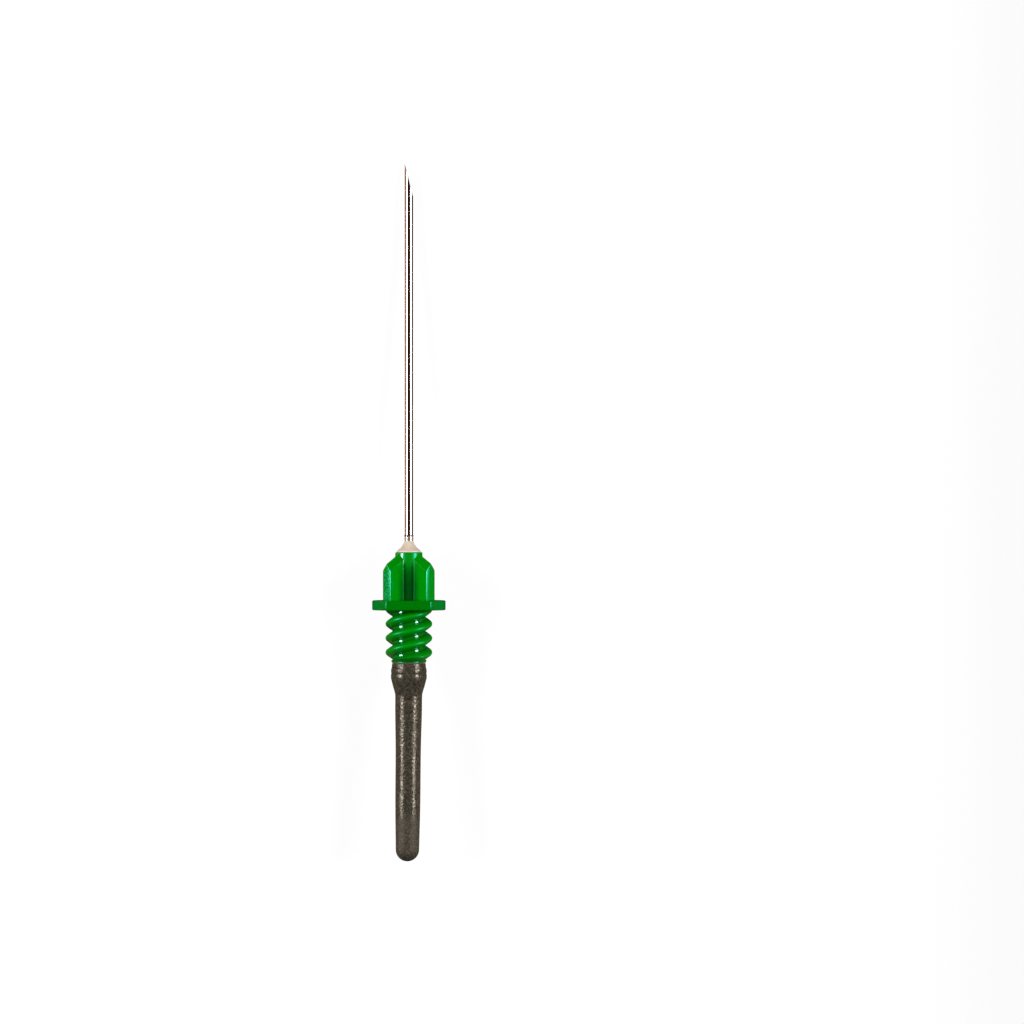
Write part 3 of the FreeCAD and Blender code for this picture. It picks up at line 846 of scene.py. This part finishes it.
class NEEDLE_OT_sleeve(bpy.types.Operator):
    """Builds the closed rubber sleeve over the rear point"""

    bl_idname = "needle.sleeve"
    bl_label = "Build Sleeve"

    # Depths behind the mouth and the outer radius there, in millimetres. Soft ridges ring the stretched part.
    OUTLINE = (
        (0.0, 1.6), (0.04, 1.635), (0.12, 1.655), (0.32, 1.665), (0.42, 1.675), (0.6, 1.73), (0.68, 1.745),
        (0.92, 1.75), (0.97, 1.735), (1.02, 1.71), (1.07, 1.735), (1.13, 1.755), (1.4, 1.76), (1.55, 1.74),
        (1.75, 1.685), (2.1, 1.6), (2.4, 1.52), (2.65, 1.435), (2.85, 1.385), (3.05, 1.335), (3.3, 1.318),
        (4.6, 1.315), (5.6, 1.3), (6.6, 1.275), (7.5, 1.255), (8.6, 1.24), (9.5, 1.235), (11.5, 1.233),
        (13.4, 1.232), (14.4, 1.22), (15.4, 1.205), (16.4, 1.185), (17.4, 1.165), (18.3, 1.15),
    )

    def execute(self, context):
        sleeve = sizes(context, "sleeve")
        hub = sizes(context, "hub")
        mouth = hub_end(hub) - sleeve.gap
        end = mouth - sleeve.length
        bore_r, fit = sleeve.bore / 2, 0.02
        tip_r = self.OUTLINE[-1][1]
        outside = [(radius, mouth - depth) for depth, radius in self.OUTLINE]
        turns = [math.pi / 2 * step / ARC_STEPS for step in range(1, ARC_STEPS + 1)]
        for turn in turns:
            outside.append((tip_r * math.cos(turn), end + tip_r * (1 - math.sin(turn))))
        neck_r, barb_r = hub.neck_diameter / 2 + fit, hub.barb_diameter / 2 + fit
        neck = hub_end(hub) - hub.neck
        barb = neck - hub.barb_rise
        floor = end + sleeve.end_wall
        inside = [(neck_r, mouth), (neck_r, neck), (barb_r, barb), (barb_r, barb - hub.barb_land)]
        inside += [(bore_r, hub_end(hub) - hub.spigot), (bore_r, floor + bore_r)]
        for turn in turns:
            inside.append((bore_r * math.cos(turn), floor + bore_r * (1 - math.sin(turn))))
        bm = lathe(inside[::-1] + outside)
        for vert in bm.verts:
            vert.co.x -= sleeve.bend * max(0.0, (barb - vert.co.z) / (barb - end))
        made = piece(bm, "rubber_boot", "rubber_sleeve", [matt_rubber(mouth)], 50.0)
        where = needle_frame()
        travel = JOINTS[PUSH_BACK]["range_m"][1]
        tuple(where @ Vector((0, 0, mouth * MM)))
        1 - travel / (sleeve.length * MM)
        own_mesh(made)
        return {"FINISHED"}


class NEEDLE_OT_stage(bpy.types.Operator):
    """Builds the camera, the softboxes, the floor, the cards and the world"""

    bl_idname = "needle.stage"
    bl_label = "Build Stage"

    def execute(self, context):
        stage = context.scene.needle_stage
        where = needle_frame()
        aim = where @ Vector((stage.aside, 0, stage.ahead))
        self.camera(context, stage, where, aim)
        white = (1.0, 1.0, 1.0)
        for turn in (-stage.left_angle, stage.right_angle):
            self.softbox(context, stage, where, turn, stage.box_width, stage.box_power, white)
        self.softbox(
            context, stage, where, stage.warm_angle, stage.warm_width, stage.warm_power, stage.warm[:3], 0.7
        )
        self.floor(context, stage)
        self.cards(context, stage)
        self.world(context, stage)
        context.scene.view_settings.view_transform = "Standard"
        return {"FINISHED"}

    @staticmethod
    def camera(context, stage, where, aim):
        """Looks straight down on the needle's axis, with the point up in the picture."""
        data = bpy.data.cameras.new("camera")
        data.lens = stage.lens
        data.sensor_width = 36.0
        data.clip_start, data.clip_end = 0.05, 10.0
        made = bpy.data.objects.new("camera", data)
        turn = where.to_3x3()
        across, forward = turn @ Vector((1, 0, 0)), turn @ UP_AXIS
        back = across.cross(forward)
        away = stage.view_width * stage.lens / data.sensor_width
        made.matrix_world = (
            Matrix.Translation(aim + back * away) @ Matrix((across, forward, back)).transposed().to_4x4()
        )
        context.scene.collection.objects.link(made)
        context.scene.camera = made

    @staticmethod
    def softbox(context, stage, where, angle_from_camera, width, power, shade, away=0.5):
        """A softbox that faces the hub, turned about the needle away from the camera's line of sight."""
        data = bpy.data.lights.new("softbox", "AREA")
        data.shape = "RECTANGLE"
        data.size, data.size_y = width, stage.box_length
        data.energy = power
        data.color = shade
        made = bpy.data.objects.new("softbox", data)
        turn = where.to_3x3()
        across, forward = turn @ Vector((1, 0, 0)), turn @ UP_AXIS
        back = across.cross(forward)
        out = back * math.cos(angle_from_camera) + across * math.sin(angle_from_camera)
        made.matrix_world = (
            Matrix.Translation(where.translation + out * away + forward * stage.box_ahead)
            @ Matrix((forward.cross(out), forward, out)).transposed().to_4x4()
        )
        context.scene.collection.objects.link(made)

    @staticmethod
    def sheet(context, name, width, height, place, material):
        """A flat sheet of the stage, its place a matrix."""
        bm = bmesh.new()
        spread = place @ Matrix.Diagonal((width, height, 1, 1))
        bmesh.ops.create_grid(bm, x_segments=1, y_segments=1, size=0.5, matrix=spread)
        mesh = bpy.data.meshes.new(name)
        bm.to_mesh(mesh)
        bm.free()
        mesh.materials.append(material)
        made = bpy.data.objects.new(name, mesh)
        context.scene.collection.objects.link(made)

    def floor(self, context, stage):
        """A floor that looks white in the picture but keeps the needle's shadow. The needle mirrors it as
        board: tan and brown beside the steel, dark green beside the hub and khaki beside the sleeve."""
        material = bpy.data.materials.new("white paper")
        tree = empty_tree(material)
        rays = add_node(tree, "LightPath").outputs
        straight = (rays["Is Camera Ray"], rays["Is Transmission Ray"])
        seen = add_node(tree, "Math", straight, operation="MAXIMUM").outputs[0]
        seen = add_node(tree, "Math", (seen, stage.glow), operation="MULTIPLY").outputs[0]
        glow = add_node(tree, "Emission", {"Strength": seen}).outputs[0]
        place = add_node(tree, "TexCoord").outputs["Object"]
        axes = add_node(tree, "SeparateXYZ", (place,)).outputs
        front = needle_frame()
        rear = front @ Vector((0, 0, hub_end(sizes(context, "hub")) * MM))
        zones = (
            ("X", "GREATER_THAN", 0.0, stage.mirrored_right),
            ("Y", "LESS_THAN", front.translation.y, stage.mirrored_hub),
            ("Y", "LESS_THAN", rear.y, stage.mirrored_sleeve),
        )
        layers = [
            (add_node(tree, "Math", (axes[axis], limit), operation=operation).outputs[0], shade)
            for axis, operation, limit, shade in zones
        ]
        mirrored = layered(tree, stage.mirrored_left, layers)
        shade = layered(tree, stage.floor, [(rays["Is Glossy Ray"], mirrored)])
        paper = add_node(tree, "BsdfDiffuse", {"Color": shade}).outputs[0]
        both = add_node(tree, "AddShader", (paper, glow)).outputs[0]
        add_node(tree, "OutputMaterial", {"Surface": both})
        below = 1e-6
        place = Matrix.Translation((0, 0, CAD_BOX[0].z - below))
        self.sheet(context, "floor", stage.wide, stage.wide, place, material)

    def cards(self, context, stage):
        """Two low cards beside the needle, for its steel to mirror. The camera looks through them."""
        left = (-1, stage.card_length / 2, stage.left_card)
        right = (1, 0.0, stage.right_card)
        for side, ahead, shade in (left, right):
            material = bpy.data.materials.new("card")
            tree = empty_tree(material)
            seen = add_node(tree, "LightPath").outputs["Is Camera Ray"]
            board = add_node(tree, "BsdfDiffuse", {"Color": shade}).outputs[0]
            clear = add_node(tree, "BsdfTransparent").outputs[0]
            both = add_node(tree, "MixShader", (seen, board, clear)).outputs[0]
            add_node(tree, "OutputMaterial", {"Surface": both})
            place = Matrix.Translation((side * stage.card_away, ahead, CAD_BOX[0].z + stage.card_height / 2))
            turn = Matrix.Rotation(math.pi / 2, 4, "Z") @ Matrix.Rotation(math.pi / 2, 4, "X")
            self.sheet(context, "card", stage.card_length, stage.card_height, place @ turn, material)

    @staticmethod
    def world(context, stage):
        """White where the camera looks past the floor, and a dim even fill elsewhere."""
        world = bpy.data.worlds.new("studio")
        tree = empty_tree(world)
        seen = add_node(tree, "LightPath").outputs["Is Camera Ray"]
        fill = add_node(tree, "Background", {"Strength": stage.fill}).outputs[0]
        white = add_node(tree, "Background", {"Color": (1, 1, 1, 1)}).outputs[0]
        both = add_node(tree, "MixShader", (seen, fill, white)).outputs[0]
        add_node(tree, "OutputWorld", {"Surface": both})
        context.scene.world = world


class NEEDLE_PT_panel(bpy.types.Panel):
    """Lists the needle's builders"""

    bl_label = "Blood collection needle"
    bl_idname = "NEEDLE_PT_panel"
    bl_space_type = "VIEW_3D"
    bl_region_type = "UI"
    bl_category = "Needle"

    def draw(self, context):
        for operator in OPERATORS:
            self.layout.operator(operator.bl_idname)


GROUPS = {
    "cannula": NeedleCannulaSettings,
    "hub": NeedleHubSettings,
    "glue": NeedleGlueSettings,
    "sleeve": NeedleSleeveSettings,
    "stage": NeedleStageSettings,
}
OPERATORS = (NEEDLE_OT_cannula, NEEDLE_OT_hub, NEEDLE_OT_glue, NEEDLE_OT_sleeve, NEEDLE_OT_stage)


def register():
    for made in (*GROUPS.values(), *OPERATORS, NEEDLE_PT_panel):
        bpy.utils.register_class(made)
    for name, group in GROUPS.items():
        setattr(bpy.types.Scene, f"needle_{name}", PointerProperty(type=group))


def unregister():
    for name in GROUPS:
        delattr(bpy.types.Scene, f"needle_{name}")
    for made in reversed((*GROUPS.values(), *OPERATORS, NEEDLE_PT_panel)):
        bpy.utils.unregister_class(made)


def main():
    register()
    for operator in OPERATORS:
        area, action = operator.bl_idname.split(".")
        getattr(getattr(bpy.ops, area), action)()


if __name__ == "__main__":
    main()
